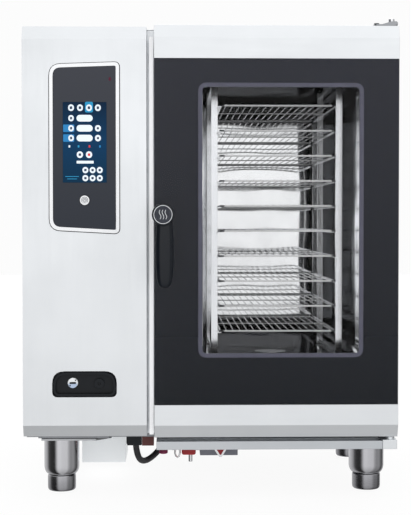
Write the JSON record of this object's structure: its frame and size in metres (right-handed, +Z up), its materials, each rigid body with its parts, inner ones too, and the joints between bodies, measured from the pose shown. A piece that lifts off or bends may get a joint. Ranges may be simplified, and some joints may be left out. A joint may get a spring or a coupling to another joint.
{
  "type": "combi steamer oven",
  "caption": "Combi steamer oven with a side-hinged glass door, turn handle, control column with touch panel, gastronorm wire shelves on racks and round adjustable feet.",
  "frame": {"origin": "centre of the overall box's footprint, on the surface the feet stand on", "axes": "+X to the right seen from the front, +Y towards the back, +Z up; the door faces -Y"},
  "size_m": [1, 0.871, 1.2773],
  "materials": {
    "stainless": "brushed",
    "bright_steel": "polished",
    "dark_steel": "satin",
    "black_plastic": "satin",
    "black_glass": "gloss",
    "clear_glass": "gloss",
    "screen": "gloss",
    "rim": "satin",
    "emblem": "satin",
    "rubber": "matte",
    "silicone": "matte",
    "pale_paint": "satin",
    "valve_red": "satin",
    "port_plastic": "matte",
    "chrome": "polished"
  },
  "bodies": {
    "cabinet": {"left_panel": "stainless", "right_panel": "stainless", "top_panel": "stainless", "rear_panel": "stainless", "column_front": "stainless", "front_frame": "stainless", "base_frame": "dark_steel", "foot_rail_left": "bright_steel", "foot_rail_right": "bright_steel", "oven_chamber": "bright_steel", "air_baffle": "bright_steel", "fan_motor": "dark_steel", "heating_element": "dark_steel", "rack_left": "bright_steel", "rack_right": "bright_steel", "drain_box": "bright_steel", "upper_hinge": "stainless", "upper_hinge_pin": "chrome", "lower_hinge": "dark_steel", "drip_tray": "stainless", "door_gasket": "rubber", "control_bezel": "chrome", "control_glass": "black_glass", "display_screen": "screen", "port_panel": "port_plastic", "usb_socket": "pale_paint", "probe_socket": "port_plastic", "vent_pipe": "bright_steel", "light_box": "pale_paint", "connector_block": "port_plastic", "drain_elbow": "silicone", "drain_hose": "rubber", "water_valves": "valve_red", "valve_box": "pale_paint"},
    "door": {"door_frame": "stainless", "door_liner": "stainless", "door_outer_glass": "clear_glass", "door_glass_print": "black_glass", "window_rim": "rim", "door_inner_glass": "clear_glass"},
    "handle": {"door_handle": "black_plastic", "handle_emblem": "emblem", "latch_cam": "bright_steel"},
    "button": {"push_button": "chrome"},
    "fan": {"fan_wheel": "bright_steel"},
    "strainer": {"drain_strainer": "bright_steel"},
    "shelf_01": {"wire_shelf_01": "bright_steel"},
    "shelf_02": {"wire_shelf_02": "bright_steel"},
    "shelf_03": {"wire_shelf_03": "bright_steel"},
    "shelf_04": {"wire_shelf_04": "bright_steel"},
    "shelf_05": {"wire_shelf_05": "bright_steel"},
    "shelf_06": {"wire_shelf_06": "bright_steel"},
    "shelf_07": {"wire_shelf_07": "bright_steel"},
    "shelf_08": {"wire_shelf_08": "bright_steel"},
    "shelf_09": {"wire_shelf_09": "bright_steel"},
    "shelf_10": {"wire_shelf_10": "bright_steel"},
    "leveller_front_left": {"foot_front_left": "bright_steel"},
    "leveller_front_right": {"foot_front_right": "bright_steel"},
    "leveller_rear_left": {"foot_rear_left": "bright_steel"},
    "leveller_rear_right": {"foot_rear_right": "bright_steel"}
  },
  "joints": [
    {"name": "door_hinge", "type": "hinge", "parent": "cabinet", "child": "door", "pos_m": [0.482, -0.3405, 0.7], "axis": [0, 0, 1], "range_deg": [0, 130]},
    {"name": "handle_turn", "type": "hinge", "parent": "door", "child": "handle", "pos_m": [-0.1275, -0.3705, 0.754], "axis": [0, 1, 0], "range_deg": [0, 90]},
    {"name": "button_press", "type": "slide", "parent": "cabinet", "child": "button", "axis": [0, 1, 0], "range_m": [0, 0.003], "stiffness_N_per_m": 600},
    {"name": "fan_spin", "type": "hinge", "parent": "cabinet", "child": "fan", "pos_m": [-0.081, 0.0195, 0.75], "axis": [1, 0, 0], "continuous": true},
    {"name": "strainer_lift", "type": "slide", "parent": "cabinet", "child": "strainer", "axis": [0, 0, 1], "range_m": [0, 0.06]},
    {"name": "shelf_01_slide", "type": "slide", "parent": "cabinet", "child": "shelf_01", "axis": [0, -1, 0], "range_m": [0, 0.07]},
    {"name": "shelf_02_slide", "type": "slide", "parent": "cabinet", "child": "shelf_02", "axis": [0, -1, 0], "range_m": [0, 0.07]},
    {"name": "shelf_03_slide", "type": "slide", "parent": "cabinet", "child": "shelf_03", "axis": [0, -1, 0], "range_m": [0, 0.07]},
    {"name": "shelf_04_slide", "type": "slide", "parent": "cabinet", "child": "shelf_04", "axis": [0, -1, 0], "range_m": [0, 0.07]},
    {"name": "shelf_05_slide", "type": "slide", "parent": "cabinet", "child": "shelf_05", "axis": [0, -1, 0], "range_m": [0, 0.07]},
    {"name": "shelf_06_slide", "type": "slide", "parent": "cabinet", "child": "shelf_06", "axis": [0, -1, 0], "range_m": [0, 0.07]},
    {"name": "shelf_07_slide", "type": "slide", "parent": "cabinet", "child": "shelf_07", "axis": [0, -1, 0], "range_m": [0, 0.07]},
    {"name": "shelf_08_slide", "type": "slide", "parent": "cabinet", "child": "shelf_08", "axis": [0, -1, 0], "range_m": [0, 0.07]},
    {"name": "shelf_09_slide", "type": "slide", "parent": "cabinet", "child": "shelf_09", "axis": [0, -1, 0], "range_m": [0, 0.07]},
    {"name": "shelf_10_slide", "type": "slide", "parent": "cabinet", "child": "shelf_10", "axis": [0, -1, 0], "range_m": [0, 0.07]},
    {"name": "level_front_left_turn", "type": "hinge", "parent": "cabinet", "child": "leveller_front_left", "pos_m": [-0.407, -0.2505, 0.04], "axis": [0, 0, 1], "continuous": true},
    {"name": "level_front_right_turn", "type": "hinge", "parent": "cabinet", "child": "leveller_front_right", "pos_m": [0.432, -0.2505, 0.04], "axis": [0, 0, 1], "continuous": true},
    {"name": "level_rear_left_turn", "type": "hinge", "parent": "cabinet", "child": "leveller_rear_left", "pos_m": [-0.44, 0.2345, 0.04], "axis": [0, 0, 1], "continuous": true},
    {"name": "level_rear_right_turn", "type": "hinge", "parent": "cabinet", "child": "leveller_rear_right", "pos_m": [0.45, 0.2345, 0.04], "axis": [0, 0, 1], "continuous": true}
  ]
}
